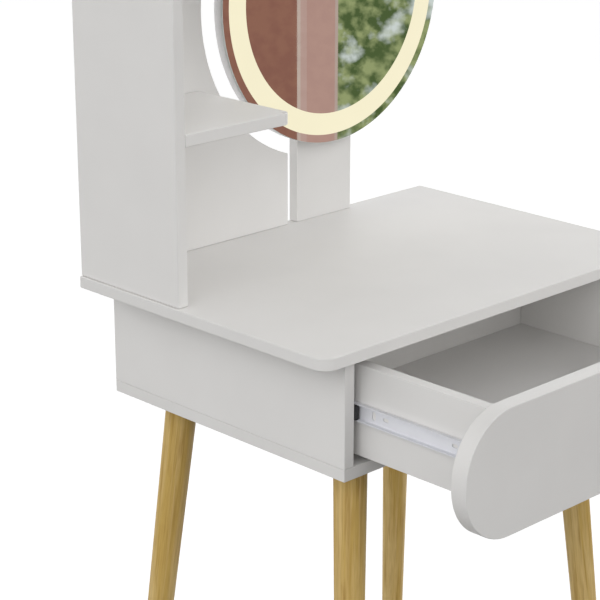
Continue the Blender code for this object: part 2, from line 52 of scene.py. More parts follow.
EASE = 1.2 * MM             # rounding of the board edges that hands meet
FINE_EASE = 0.8 * MM
CASE_EASE = 0.6 * MM        # where two boards meet flush
BASE_EASE = 0.3 * MM
SHEET_EASE = 0.5 * MM
EASE_STEPS = 4
CORNER_SPARE = 1.1          # a board's corner radius over the rounding of its edges, at least
NOTCH = 0.4 * MM            # corner radius of a groove or recess
ARC_STEP = math.radians(5)
SHARP = math.radians(38)
TOP_CORNER = 20 * MM
SHELF_CORNER = 10 * MM
FACE_CORNER = 72 * MM
CUTOUT_MARGIN = 19 * MM     # between the mirror and the cut-out in the hutch's back
CUTOUT_STEPS = 100
GAP = 0.3 * MM
GROOVE_RUN_OUT = 9 * MM     # how far the drawer side's groove goes on past the base
BOLT_HOLE = 7.5 * MM        # radius
MIRROR_SCREWS = [f"mirror_screw_{number}" for number in range(1, 5)]
SCREW_HOLE = 2.3 * MM       # radius
HEAD_POCKET = 3 * MM        # depth of the post's pockets

LEG_TOP_RADIUS = 20.45 * MM
LEG_FOOT_RADIUS = 14 * MM
LEG_SPARE = 6 * MM          # length past each end, before the level cuts
LEG_RIM = 1.2 * MM
LEG_SPIN = 1.7              # turns each leg's grain round by its own angle
PLATE_CORNER = 6 * MM
PLATE_SCREW_INSET = 7 * MM
PLATE_SCREW_SINK = 0.5 * MM
GLIDE_RIM = 1 * MM
RING_WIDTH = 29 * MM        # the lit ring
GLASS_BEVEL = 0.8 * MM
ETCH = 0.15 * MM            # depth of the sand-blasting
HOUSING_SHEET = 1.5 * MM
PRESSED_RINGS = (121 * MM, 180 * MM)                    # radii
SLIDE_SHEET = 1.2 * MM
SLIDE_LIP = 4 * MM
RUNNER_TIP = 5.5 * MM       # edges of the drawer member's flanges, from the case's wall
SLOT = (9 * MM, 4.5 * MM)
CROSS_SLOT = (6 * MM, 10.5 * MM)
CASE_SLOTS = (35 * MM, 160 * MM, 290 * MM)             # centres, from a member's front end
RUNNER_SLOTS = (20 * MM, 57 * MM, 160 * MM, 310 * MM)
CROSS_SLOT_AT = 178.5 * MM
STOP_FROM_WALL = (1.8 * MM, 8.6 * MM)
BALL = 2.4 * MM             # radius
BALLS_IN_ROW = 9
CAGE_SHEET = 0.8 * MM


# --- Materials ---------------------------------------------------------------------------------

class Surface:
    """A node material round one Principled shader, with helpers for procedural detail."""

    def __init__(self, name, colour, roughness, metallic=0.0, specular=0.5):
        self.material = bpy.data.materials.new(name)
        self.material.use_nodes = True
        self.tree = self.material.node_tree
        self.shader = self.tree.nodes["Principled BSDF"]
        self.set("Base Color", (*colour, 1))
        self.set("Roughness", roughness)
        self.set("Metallic", metallic)
        self.set("Specular IOR Level", specular)
        self.place = self.tree.nodes.new("ShaderNodeTexCoord").outputs["Object"]

    def set(self, socket, value):
        self.shader.inputs[socket].default_value = value

    def feed(self, source, socket):
        self.tree.links.new(source, self.shader.inputs[socket])

    def fill(self, socket, value):
        """Links a socket or sets a constant, whichever value is."""
        if isinstance(value, bpy.types.NodeSocket):
            self.tree.links.new(value, socket)
        elif isinstance(value, tuple):
            socket.default_value = (*value, 1)
        else:
            socket.default_value = value

    def stretched(self, scale, frame_of=Matrix.Identity(4)):
        """Coordinates scaled along the axes of a frame, such as a leaning leg's."""
        mapping = self.tree.nodes.new("ShaderNodeMapping")
        mapping.vector_type = "TEXTURE"
        mapping.inputs["Location"].default_value = frame_of.to_translation()
        mapping.inputs["Rotation"].default_value = frame_of.to_euler()
        mapping.inputs["Scale"].default_value = [1 / factor for factor in scale]
        self.tree.links.new(self.place, mapping.inputs["Vector"])
        return mapping.outputs["Vector"]

    def noise(self, scale, detail=3.0, where=None, distortion=0.0):
        noise = self.tree.nodes.new("ShaderNodeTexNoise")
        noise.inputs["Scale"].default_value = scale
        noise.inputs["Detail"].default_value = detail
        noise.inputs["Distortion"].default_value = distortion
        self.tree.links.new(where or self.place, noise.inputs["Vector"])
        return noise.outputs["Fac"]

    def remap(self, source, low, high, out_low, out_high):
        remap = self.tree.nodes.new("ShaderNodeMapRange")
        ends = (source, low, high, out_low, out_high)
        for name, value in zip(("Value", "From Min", "From Max", "To Min", "To Max"), ends):
            self.fill(remap.inputs[name], value)
        return remap.outputs["Result"]

    def blend(self, factor, first, second):
        mix = self.tree.nodes.new("ShaderNodeMix")
        mix.data_type = "RGBA"
        for socket, value in zip((mix.inputs[0], mix.inputs[6], mix.inputs[7]), (factor, first, second)):
            self.fill(socket, value)
        return mix.outputs[2]

    def bump(self, height, distance, strength=1.0):
        bump = self.tree.nodes.new("ShaderNodeBump")
        bump.inputs["Distance"].default_value = distance
        bump.inputs["Strength"].default_value = strength
        self.tree.links.new(height, bump.inputs["Height"])
        self.feed(bump.outputs["Normal"], "Normal")


def tint(colour, factor):
    return tuple(channel * factor for channel in colour)


def laminate(name, colour, roughness=0.5, grain=1400):
    """Matt melamine: a fine pearl texture and the slightest mottling."""
    surface = Surface(name, colour, roughness, specular=0.35)
    mottle = surface.remap(surface.noise(9, 2), 0.35, 0.65, 0.0, 1.0)
    surface.feed(surface.blend(mottle, tint(colour, 0.985), tint(colour, 1.01)), "Base Color")
    pearl = surface.noise(grain, 2)
    surface.feed(surface.remap(pearl, 0.3, 0.7, roughness - 0.05, roughness + 0.06), "Roughness")
    surface.bump(pearl, 0.04 * MM, 0.6)
    return surface.material


def lacquered_pine(name, grain):
    """Pale pine with its fibres along the grain frame's Z, under a clear satin lacquer."""
    light, middle, dark = (0.67, 0.49, 0.21), (0.57, 0.385, 0.115), (0.36, 0.205, 0.05)
    surface = Surface(name, middle, 0.45, specular=0.1)
    surface.set("Coat Weight", 0.04)
    surface.set("Coat Roughness", 0.3)
    along = surface.stretched((1, 1, 0.04), grain)
    rings = surface.noise(100, 4, along, 0.6)
    base = surface.blend(surface.remap(rings, 0.36, 0.64, 0.0, 1.0), light, middle)
    streaks = surface.remap(surface.noise(230, 5, along, 0.4), 0.5, 0.74, 0.0, 0.8)
    fibres = surface.noise(1000, 3, along)
    grained = surface.blend(streaks, base, dark)
    fibre = surface.remap(fibres, 0.42, 0.75, 0.0, 0.35)
    surface.feed(surface.blend(fibre, grained, dark), "Base Color")
    surface.feed(surface.remap(rings, 0.3, 0.7, 0.42, 0.55), "Roughness")
    surface.bump(fibres, 0.05 * MM, 0.5)
    return surface.material


def metal(name, colour, roughness, along=(1, 1, 1), metallic=1.0):
    """Rolled, drawn or cast metal; the streaks run where along squeezes them."""
    surface = Surface(name, colour, roughness, metallic)
    streaks = surface.noise(700, 3, surface.stretched(along))
    surface.feed(surface.remap(streaks, 0.3, 0.7, roughness - 0.07, roughness + 0.08), "Roughness")
    cloud = surface.remap(surface.noise(40, 3), 0.3, 0.7, 0.0, 1.0)
    surface.feed(surface.blend(cloud, tint(colour, 0.98), tint(colour, 1.01)), "Base Color")
    surface.bump(streaks, 0.03 * MM, 0.25)
    return surface.material


def moulded(name, colour, roughness, grain=900, sheen=0.0):
    surface = Surface(name, colour, roughness)
    surface.set("Sheen Weight", sheen)
    spark = surface.noise(grain, 2)
    surface.feed(surface.remap(spark, 0.3, 0.7, roughness - 0.06, roughness + 0.05), "Roughness")
    shade = surface.remap(surface.noise(60, 3), 0.3, 0.7, 0.0, 1.0)
    surface.feed(surface.blend(shade, tint(colour, 0.9), tint(colour, 1.1)), "Base Color")
    surface.bump(spark, 0.06 * MM, 0.5)
    return surface.material


def silvered(name):
    """Mirror glass: a faint film keeps it from being a perfect reflector."""
    surface = Surface(name, (0.93, 0.93, 0.92), 0.015, 1.0)
    film = surface.noise(16, 4)
    surface.feed(surface.remap(film, 0.4, 0.75, 0.008, 0.03), "Roughness")
    return surface.material


def frosted(name):
    """The sand-blasted ring that the light shines through."""
    glow = (0.93, 0.865, 0.62)
    surface = Surface(name, (0.03, 0.03, 0.028), 0.55, specular=0.2)
    spread = surface.remap(surface.noise(14, 2), 0.3, 0.7, 0.0, 1.0)
    surface.feed(surface.blend(spread, tint(glow, 0.975), glow), "Emission Color")
    surface.set("Emission Strength", 0.97)
    surface.bump(surface.noise(1800, 2), 0.03 * MM, 0.4)
    return surface.material


BOARD = (0.76, 0.749, 0.733)
LAMINATE = laminate("laminate", BOARD)
# Edge bands: a smoother, finer band (real), tinted 4 % darker than the faces as painted shade on the
# board edges.
EDGE_BAND_PAINTED_SHADE = laminate("edge_band_painted_shade", tint(BOARD, 0.96), 0.44, 700)
# The drawer's front face: the board's laminate made 3 % darker, as painted shade.
FACE_PAINTED_SHADE_LAMINATE = laminate("face_laminate", tint(BOARD, 0.97))
# The shelves' faces and the post's edges: the board's laminate made 8 % lighter, as painted light.
PAINTED_LIGHT_LAMINATE = laminate("painted_light_laminate", tint(BOARD, 1.08))
# The post's faces: the board's laminate made 6 % darker, as painted shade.
POST_PAINTED_SHADE_LAMINATE = laminate("post_painted_shade_laminate", tint(BOARD, 0.94))
# The drawer's base: a board of its own, a little smoother, and 7 % darker, partly as painted shade
# inside the drawer.
BASE_PAINTED_SHADE_LAMINATE = laminate("drawer_base_painted_shade_laminate", tint(BOARD, 0.93), 0.46)
ZINC = metal("zinc_steel", (0.755, 0.76, 0.795), 0.6, (1, 0.03, 1), 0.25)
CAGE_STEEL = metal("cage_steel", (0.50, 0.50, 0.52), 0.4, (1, 0.1, 1))
SCREW_STEEL = metal("screw_steel", (0.40, 0.40, 0.41), 0.36)
CAM_ZINC = metal("cam_zinc", (0.56, 0.56, 0.58), 0.45)
ALUMINIUM = metal("aluminium", (0.68, 0.67, 0.67), 0.42, (0.3, 1, 0.3))
SILVERED = silvered("silvered_glass")
FROSTED = frosted("frosted_light")
GLASS_EDGE = moulded("glass_edge", (0.60, 0.63, 0.61), 0.22, 300)
STRIP = moulded("light_strip", (0.80, 0.79, 0.72), 0.5)
BLACK = moulded("black_plastic", (0.008, 0.008, 0.009), 0.5)
BUMPER = moulded("bumper_rubber", (0.60, 0.60, 0.58), 0.5)
FELT = moulded("felt", (0.045, 0.036, 0.03), 0.9, 1700, 0.4)


def repaint(node, material):
    for place in NODES[node].material_slots:
        place.material = material


# --- Outlines and solids -----------------------------------------------------------------------

def row_point(axis, u, v, depth):
    """The row-frame point for (u, v) across axis and depth along it."""
    if axis == X:
        return Vector((depth, u, v))
    if axis == Y:
        return Vector((u, depth, v))
    return Vector((u, v, depth))


def across(axis, point):
    """The (u, v) of a row-frame point, the other way round."""
    return Vector([point[other] for other in (X, Y, Z) if other != axis])


def fillet(before, here, after, radius):
    """The points of an arc that rounds the corner at here."""
    back = (before - here).normalized()
    ahead = (after - here).normalized()
    half = back.angle(ahead) / 2
    centre = here + (back + ahead).normalized() * (radius / math.sin(half))
    start = here + back * (radius / math.tan(half)) - centre
    end = here + ahead * (radius / math.tan(half)) - centre
    turn = -start.angle_signed(end)
    count = max(3, math.ceil(abs(turn) / ARC_STEP))
    return [centre + Matrix.Rotation(turn * number / count, 2) @ start for number in range(count + 1)]


def polygon(corners, radii):
    """A closed outline, anticlockwise, with each corner rounded by its own radius."""
    corners = [Vector(corner) for corner in corners]
    points = []
    for index, (corner, radius) in enumerate(zip(corners, radii)):
        points += fillet(corners[index - 1], corner, corners[(index + 1) % len(corners)], radius)
    return points


def rectangle(low, high, radii):
    """The radii start at the lowest corner and run anticlockwise; one number serves all four."""
    if isinstance(radii, float):
        radii = (radii,) * 4
    return polygon(((low[0], low[1]), (high[0], low[1]), (high[0], high[1]), (low[0], high[1])), radii)


def circle(centre, radius, sides):
    angles = [2 * math.pi * number / sides for number in range(sides)]
    return [Vector(centre) + radius * Vector((math.cos(angle), math.sin(angle))) for angle in angles]


def shrunk(points, distance):
    """A closed outline moved inwards, each point along its mitre."""
    moved = []
    for index, point in enumerate(points):
        before = (point - points[index - 1]).normalized()
        after = (points[(index + 1) % len(points)] - point).normalized()
        mitre = (before + after).orthogonal().normalized()
        lean = max(0.3, mitre.dot(before.orthogonal()))
        moved.append(point + mitre * (distance / lean))
    return moved


def quarter_turn(count):
    """Angles from none to a quarter turn, in equal steps."""
    return [math.pi / 2 * step / count for step in range(count + 1)]


def slab(points, low, high, axis, ease=0.0):
    """A solid of that outline from low to high along axis, with rounded rims."""
    rim = [(0.0, 0.0)]
    if ease:
        turns = quarter_turn(EASE_STEPS)
        rim = [(ease * (1 - math.sin(turn)), ease * (1 - math.cos(turn))) for turn in turns]
    levels = [(inset, low + depth) for inset, depth in rim]
    levels += [(inset, high - depth) for inset, depth in reversed(rim)]
    work = bmesh.new()
    rings = []
    for inset, depth in levels:
        outline = shrunk(points, inset) if inset else points
        rings.append([work.verts.new(row_point(axis, *point, depth)) for point in outline])
    for lower, upper in zip(rings, rings[1:]):
        for index, corner in enumerate(lower):
            work.faces.new((lower[index - 1], corner, upper[index], upper[index - 1]))
    work.faces.new(rings[0])
    work.faces.new(rings[-1])
    return work


def turned(profile, sides, place):
    """A lathe shape round place's Z, and its bands of faces, one for each step of the profile.

    The profile's (radius, height) points run from axis to axis, or close on themselves.
    """
    work = bmesh.new()
    rings = []
    for radius, height in profile:
        points = circle((0, 0), radius, sides) if radius else [Vector((0, 0))]
        rings.append([work.verts.new(place @ Vector((*point, height))) for point in points])
    if profile[0][0]:
        rings.append(rings[0])
    bands = []
    for first, second in zip(rings, rings[1:]):
        band = []
        for index in range(sides):
            if len(first) == 1:
                corners = (first[0], second[index], second[index - 1])
            elif len(second) == 1:
                corners = (first[index - 1], first[index], second[0])
            else:
                corners = (first[index - 1], first[index], second[index], second[index - 1])
            band.append(work.faces.new(corners))
        bands.append(band)
    return work, bands


def arc(centre, radius, start, end, count=6):
    """Points of a profile along an arc, from one angle in degrees to another."""
    points = []
    for step in range(count + 1):
        turn = math.radians(start + (end - start) * step / count)
        points.append((centre[0] + radius * math.cos(turn), centre[1] + radius * math.sin(turn)))
    return points


def middle_of(node):
    low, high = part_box(node)
    return (low + high) / 2


def cross_cutters(arm, width, rounding, low, high):
    """Two bars that cut a cross recess from low to high along Z."""
    bars = ((arm, width), (width, arm))
    return [slab(rectangle((-u, -v), (u, v), rounding), low, high, Z) for u, v in bars]


def pose_at(point, direction):
    """The place whose origin is point and whose Z runs along direction."""
    turn = Vector(direction).to_track_quat("Z", "Y").to_matrix().to_4x4()
    return Matrix.Translation(point) @ turn


def merged(shapes):
    """Several solids in one mesh."""
    mesh = bpy.data.meshes.new("merged")
    total = bmesh.new()
    for shape in shapes:
        bmesh.ops.recalc_face_normals(shape, faces=shape.faces)
        shape.to_mesh(mesh)
        shape.free()
        total.from_mesh(mesh)
    bpy.data.meshes.remove(mesh)
    return total


def carve(work, cutters):
    """What is left of a solid when the cutters are taken out of it."""
    things = []
    for shape in (work, *cutters):
        bmesh.ops.recalc_face_normals(shape, faces=shape.faces)
        mesh = bpy.data.meshes.new("blank")
        shape.to_mesh(mesh)
        shape.free()
        thing = bpy.data.objects.new("blank", mesh)
        bpy.context.scene.collection.objects.link(thing)
        things.append(thing)
    for tool in things[1:]:
        cut = things[0].modifiers.new("cut", "BOOLEAN")
        cut.object = tool
    left = bmesh.new()
    left.from_object(things[0], bpy.context.evaluated_depsgraph_get())
    for thing in things:
        bpy.data.objects.remove(thing, do_unlink=True)
    return left


def add_piece(name, work, materials, body, replaced=()):
    """A smooth-shaded piece that rides on a body and stands for CAD nodes."""
    bmesh.ops.recalc_face_normals(work, faces=work.faces)
    mesh = bpy.data.meshes.new(name)
    work.to_mesh(mesh)
    work.free()
    for material in materials:
        mesh.materials.append(material)
    mesh.shade_smooth()
    mesh.set_sharp_from_angle(angle=SHARP)
    piece = bpy.data.objects.new(name, mesh)
    bpy.context.scene.collection.objects.link(piece)
    normals = piece.modifiers.new("flat faces stay flat", "WEIGHTED_NORMAL")
    normals.keep_sharp = True
    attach(piece, body)
    if replaced:
        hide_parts(*replaced)


# --- Boards ------------------------------------------------------------------------------------

def add_board(
    name, node, axis, radii=(0, 0, 0, 0), ease=EASE, cutters=(), outline=None,
    materials=(LAMINATE, EDGE_BAND_PAINTED_SHADE), body="table",
):
    """A board in place of a node, thin along axis; its faces and its edge bands differ."""
    low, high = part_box(node)
    radii = [max(radius, ease * CORNER_SPARE) for radius in radii]
    outline = outline or rectangle(across(axis, low), across(axis, high), radii)
    work = slab(outline, low[axis], high[axis], axis, ease)
    if cutters:
        work = carve(work, cutters)
    work.normal_update()
    for face in work.faces:
        face.material_index = 0 if abs(face.normal[axis]) > 0.99 else 1
    add_piece(name, work, materials, body, [node])


def bore(point, axis, radius, low, high, sides=32):
    """A round cutter through point, from low to high along axis."""
    return slab(circle(across(axis, point), radius, sides), low, high, axis)


def make_top():
    add_board("top_board", "tabletop", Z, (TOP_CORNER, TOP_CORNER, 0, 0))


def make_case():
    for side in SIDES:
        add_board(f"case_end_{side}", f"case_side_{side}", X, ease=CASE_EASE)
    add_board("case_rear_board", "case_back", Y, ease=CASE_EASE)
    cutters = []
    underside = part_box("case_bottom")[0].z
    for corner in CORNERS:
        bolt = f"leg_bolt_{corner}"
        bolt_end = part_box(bolt)[1].z
        cutters.append(bore(middle_of(bolt), Z, BOLT_HOLE, underside - MM, bolt_end + 2 * MM))
    add_board("case_floor", "case_bottom", Z, ease=CASE_EASE, cutters=cutters)


def make_hutch():
    add_board("hutch_end", "hutch_side_left", X)
    free_corner = (0, SHELF_CORNER, 0, 0)
    # Both shelves take the lighter laminate on their faces: painted light.
    for name, node in (("shelf_board", "hutch_shelf_middle"), ("upper_board", "hutch_shelf_top")):
        add_board(name, node, Z, free_corner, materials=[PAINTED_LIGHT_LAMINATE, EDGE_BAND_PAINTED_SHADE])
    low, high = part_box("hutch_back")
    glass_low, glass_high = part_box("mirror_glass")
    centre = across(Y, middle_of("mirror_glass"))
    radius = (glass_high.x - glass_low.x) / 2 + CUTOUT_MARGIN
    start = -math.acos((high.x - centre.x) / radius)
    end = -math.pi - math.asin((high.z - centre.y) / radius)
    hollow = []
    for step in range(CUTOUT_STEPS + 1):
        angle = start + (end - start) * step / CUTOUT_STEPS
        hollow.append(centre + radius * Vector((math.cos(angle), math.sin(angle))))
    outline = [Vector((low.x, low.z)), Vector((high.x, low.z)), *hollow, Vector((low.x, high.z))]
    add_board("hutch_rear_board", "hutch_back", Y, ease=FINE_EASE, outline=outline)


def make_post():
    """The post's back is bored for the heads of the mirror's screws."""
    low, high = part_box("mirror_post")
    cutters = []
    for node in MIRROR_SCREWS:
        screw_low, screw_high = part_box(node)
        middle = middle_of(node)
        head = (screw_high.x - screw_low.x) / 2 + GAP
        cutters.append(bore(middle, Y, head, high.y - HEAD_POCKET, high.y + MM))
        cutters.append(bore(middle, Y, SCREW_HOLE, low.y - MM, high.y - HEAD_POCKET + 0.1 * MM))
    # The post's faces are painted darker (painted shade) and its edges lighter (painted light).
    add_board(
        "post_board", "mirror_post", Y, ease=FINE_EASE, cutters=cutters,
        materials=[POST_PAINTED_SHADE_LAMINATE, PAINTED_LIGHT_LAMINATE],
    )
    for number, node in enumerate(MIRROR_SCREWS, start=1):
        screw_low, screw_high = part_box(node)
        middle = middle_of(node)
        shank = [(0, 0), (2 * MM, 0.6 * MM), (2 * MM, screw_high.y - screw_low.y - 2.6 * MM)]
        place = pose_at((middle.x, screw_low.y, middle.z), (0, 1, 0))
        make_screw(f"mirror_fixing_{number}", place, shank, 4 * MM, 2.4 * MM, [node])


def make_screw(name, place, shank, head, rise, replaced=()):
    """A pan-head screw; the shank's profile starts at its tip and ends under the head."""
    under = shank[-1][1]
    profile = shank + [(head, under), (head, under + 0.3 * rise)]
    for turn in quarter_turn(6)[1:-1]:
        profile.append((head * math.cos(turn), under + rise * (0.3 + 0.7 * math.sin(turn))))
    profile.append((0, under + rise))
    work, _ = turned(profile, 32, Matrix.Identity(4))
    arm, width = head * 0.55, head * 0.13
    cross = cross_cutters(arm, width, width * 0.4, under + rise * 0.35, under + 2 * rise)
    work = carve(work, cross)
    bmesh.ops.transform(work, matrix=place, verts=work.verts)
    add_piece(name, work, [SCREW_STEEL], "table", replaced)


# --- Drawer ------------------------------------------------------------------------------------

def make_drawer():
    # The drawer's face takes the darker laminate: painted shade.
    add_board(
        "drawer_face", "drawer_front", Y, (FACE_CORNER,) * 4,
        materials=[FACE_PAINTED_SHADE_LAMINATE, EDGE_BAND_PAINTED_SHADE], body="drawer",
    )
    base_low, base_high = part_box("drawer_bottom")
    for side, sign in SIDES.items():
        low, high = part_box(f"drawer_side_{side}")
        inner = min(abs(low.x), abs(high.x))
        ends = sorted((sign * (inner - MM), sign * (base_high.x + GAP)))
        groove_low = (base_low.y - GROOVE_RUN_OUT, base_low.z - GAP)
        groove_high = (high.y + MM, base_high.z + GAP)
        cutters = [slab(rectangle(groove_low, groove_high, NOTCH), *ends, X)]
        for number in (1, 2):
            cutters.append(make_cam(side, sign, number, inner))
        add_board(
            f"drawer_end_{side}", f"drawer_side_{side}", X,
            ease=FINE_EASE, cutters=cutters, body="drawer",
        )
        make_bumper(side)
    low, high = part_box("drawer_back")
    groove = rectangle((low.x - MM, base_low.z - GAP), (high.x + MM, base_high.z + GAP), NOTCH)
    cutters = [slab(groove, low.y - MM, base_high.y + GAP, Y)]
    add_board("drawer_rear_board", "drawer_back", Y, ease=FINE_EASE, cutters=cutters, body="drawer")
    # The drawer's base takes the darker laminate: partly its own board, partly painted shade.
    add_board(
        "drawer_base", "drawer_bottom", Z, ease=BASE_EASE,
        materials=[BASE_PAINTED_SHADE_LAMINATE, BASE_PAINTED_SHADE_LAMINATE], body="drawer",
    )


def make_cam(side, sign, number, inner):
    """A cast cam lock flush with the drawer's inside; returns the cutter for its pocket."""
    node = f"drawer_cam_{side}_{number}"
    low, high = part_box(node)
    middle = middle_of(node)
    radius, length = (high.y - low.y) / 2, high.x - low.x
    deep = Vector((sign * max(abs(low.x), abs(high.x)), middle.y, middle.z))
    groove = length - 0.35 * MM
    profile = [(0, 0), (radius - 0.4 * MM, 0), (radius, 0.4 * MM), (radius, length - 0.5 * MM)]
    profile += [(radius - 0.5 * MM, length), (radius * 0.8, length), (radius * 0.75, groove)]
    profile += [(radius * 0.68, groove), (radius * 0.63, length), (0, length)]
    work, _ = turned(profile, 48, Matrix.Identity(4))
    cross = cross_cutters(radius * 0.5, 0.75 * MM, 0.3 * MM, length - 2.2 * MM, length + MM)
    work = carve(work, cross)
    bmesh.ops.transform(work, matrix=pose_at(deep, (-sign, 0, 0)), verts=work.verts)
    add_piece(f"cam_lock_{side}_{number}", work, [CAM_ZINC], "drawer", [node])
    ends = sorted((sign * (inner - MM), deep.x + sign * GAP))
    return bore(middle, X, radius + GAP, *ends, 48)


def make_bumper(side):
    """A soft dome stuck to the back of the drawer's face."""
    node = f"drawer_bumper_{side}"
    low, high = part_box(node)
    middle = middle_of(node)
    radius, rise = (high.x - low.x) / 2, high.y - low.y
    dome = [(radius * math.cos(turn), rise * math.sin(turn)) for turn in quarter_turn(8)[:-1]]
    place = pose_at((middle.x, low.y, middle.z), (0, 1, 0))
    work, _ = turned([(0, 0), *dome, (0, rise)], 40, place)
    add_piece(f"bumper_dome_{side}", work, [BUMPER], "drawer", [node])


# --- Slides ------------------------------------------------------------------------------------

def bent_sheet(corners, bend, sheet):
    """The closed outline of a sheet bent along corners, which lie on its middle line."""
    corners = [Vector(corner) for corner in corners]
    line = [corners[0]]
    for before, here, after in zip(corners, corners[1:], corners[2:]):
        line += fillet(before, here, after, bend)
    line.append(corners[-1])
    near, far = [], []
    for index, point in enumerate(line):
        before = point - line[index - 1] if index else line[1] - line[0]
        after = line[index + 1] - point if index < len(line) - 1 else before
        normal = (before.normalized() + after.normalized()).orthogonal().normalized()
        near.append(point + normal * (sheet / 2))
        far.append(point - normal * (sheet / 2))
    return near + far[::-1]


def add_member(name, node, corners, bend, body, holes, side):
    """A rolled slide member; corners are (distance from the case's wall, height)."""
    low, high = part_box(node)
    sign, wall = SIDES[side], bay_wall(side)
    middle = (low.z + high.z) / 2
    bends = [(sign * (wall - out), middle + up) for out, up in corners]
    outline = bent_sheet(bends, bend, SLIDE_SHEET)
    web = bends[len(bends) // 2][0]
    cutters = []
    for along, (long, tall) in holes:
        centre = low.y + along
        low_corner = (centre - long / 2, middle - tall / 2)
        high_corner = (centre + long / 2, middle + tall / 2)
        shape = rectangle(low_corner, high_corner, min(long, tall) * 0.49)
        cutters.append(slab(shape, web - 3 * MM, web + 3 * MM, X))
    work = carve(slab(outline, low.y, high.y, Y), cutters)
    add_piece(name, work, [ZINC], body, [node])


def bay_wall(side):
    """How far the case's inner wall lies from the middle."""
    low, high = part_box(f"case_side_{side}")
    return min(abs(low.x), abs(high.x))


def make_slides():
    for side in SIDES:
        wall = bay_wall(side)
        outer_low, outer_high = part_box(f"slide_outer_{side}")
        inner_low, inner_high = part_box(f"slide_inner_{side}")
        half = (outer_high.z - outer_low.z - SLIDE_SHEET) / 2
        mouth = max(wall - abs(outer_low.x), wall - abs(outer_high.x)) - SLIDE_SHEET / 2
        back = GAP + SLIDE_SHEET / 2
        lip = half - SLIDE_LIP
        corners = [(mouth, lip), (mouth, half), (back, half)]
        corners += [(out, -up) for out, up in reversed(corners)]
        holes = [(along, SLOT) for along in CASE_SLOTS]
        add_member(f"case_member_{side}", f"slide_outer_{side}", corners, 2.4 * MM, "table", holes, side)
        rail = (inner_high.z - inner_low.z - SLIDE_SHEET) / 2
        web = max(wall - abs(inner_low.x), wall - abs(inner_high.x)) - SLIDE_SHEET / 2
        corners = [(RUNNER_TIP, rail), (web, rail), (web, -rail), (RUNNER_TIP, -rail)]
        holes = [(along, SLOT) for along in RUNNER_SLOTS] + [(CROSS_SLOT_AT, CROSS_SLOT)]
        add_member(
            f"drawer_member_{side}", f"slide_inner_{side}", corners, 1.6 * MM, "drawer", holes, side,
        )
        make_end_stop(side, rail)
        make_cage(side)


def make_end_stop(side, rail):
    """The moulded stop clipped into the front end of the case member, inside the drawer member."""
    wall = bay_wall(side)
    case_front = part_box(f"case_side_{side}")[0].y
    member = f"slide_outer_{side}"
    middle = middle_of(member).z
    half = rail - SLIDE_SHEET / 2 - 0.5 * MM
    ends = sorted(SIDES[side] * (wall - out) for out in STOP_FROM_WALL)
    outline = rectangle((ends[0], middle - half), (ends[1], middle + half), 1.6 * MM)
    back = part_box(member)[0].y + 2 * MM
    work = slab(outline, case_front + 0.6 * MM, back, Y, SHEET_EASE)
    add_piece(f"slide_stop_{side}", work, [BLACK], "table", ())


def make_cage(side):
    """A pressed retainer with a row of steel balls in each flange."""
    sign, wall = SIDES[side], bay_wall(side)
    node = f"slide_cage_{side}"
    low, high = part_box(node)
    middle = middle_of(node)
    flange = (high.z - low.z) / 2 - 2.5 * MM
    back = wall - max(abs(low.x), abs(high.x)) + CAGE_SHEET / 2
    front = wall - min(abs(low.x), abs(high.x)) - CAGE_SHEET / 2
    corners = [(front, flange), (back, flange), (back, -flange), (front, -flange)]
    bends = [(sign * (wall - out), middle.z + up) for out, up in corners]
    outline = bent_sheet(bends, 1.2 * MM, CAGE_SHEET)
    places, holes = [], []
    for number in range(BALLS_IN_ROW):
        y = low.y + (number + 0.5) * (high.y - low.y) / BALLS_IN_ROW
        for up in (-flange, flange):
            z = middle.z + up
            places.append(Vector((middle.x, y, z)))
            holes.append(bore(places[-1], Z, BALL + 0.1 * MM, z - 1.5 * MM, z + 1.5 * MM, 20))
    shapes = [carve(slab(outline, low.y, high.y, Y), holes)]
    for place in places:
        profile = [(0, -BALL)] + arc((0, 0), BALL, -75, 75, 10) + [(0, BALL)]
        shapes.append(turned(profile, 20, Matrix.Translation(place))[0])
    add_piece(f"ball_cage_{side}", merged(shapes), [CAGE_STEEL], f"cage_{side}", [node])


# --- Legs --------------------------------------------------------------------------------------

def make_leg(corner, number):
    """A turned leg on its leaning axis, trimmed level at both ends."""
    low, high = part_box(f"leg_{corner}")
    head = middle_of(f"leg_plate_{corner}")
    foot = middle_of(f"foot_glide_{corner}")
    head.z, foot.z = high.z, low.z
    run = head - foot
    flare = (LEG_TOP_RADIUS - LEG_FOOT_RADIUS) / run.length * LEG_SPARE
    work = bmesh.new()
    bmesh.ops.create_cone(
        work, cap_ends=True, segments=96, radius1=LEG_FOOT_RADIUS - flare,
        radius2=LEG_TOP_RADIUS + flare, depth=run.length + 2 * LEG_SPARE,
    )
    spin = Matrix.Rotation(number * LEG_SPIN, 4, "Z")
    place = pose_at((head + foot) / 2, run) @ spin
    inverse = place.inverted()
    for level, outside in ((high.z, 1), (low.z, -1)):
        point = inverse @ Vector((head.x, head.y, level))
        normal = inverse.to_3x3() @ Vector((0, 0, outside))
        geometry = [*work.verts, *work.edges, *work.faces]
        cut = bmesh.ops.bisect_plane(
            work, geom=geometry, plane_co=point, plane_no=normal, clear_outer=True,
        )
        rim = [item for item in cut["geom_cut"] if isinstance(item, bmesh.types.BMEdge)]
        bmesh.ops.edgeloop_fill(work, edges=rim)
    rims = [edge for edge in work.edges if len(edge.link_faces) == 2 and edge.calc_face_angle() > 1]
    bmesh.ops.bevel(work, geom=rims, offset=LEG_RIM, segments=4, profile=0.5, affect="EDGES")
    bmesh.ops.transform(work, matrix=place, verts=work.verts)
    pine = lacquered_pine(f"lacquered_pine_{corner}", place)
    add_piece(f"turned_leg_{corner}", work, [pine], "table", [f"leg_{corner}"])


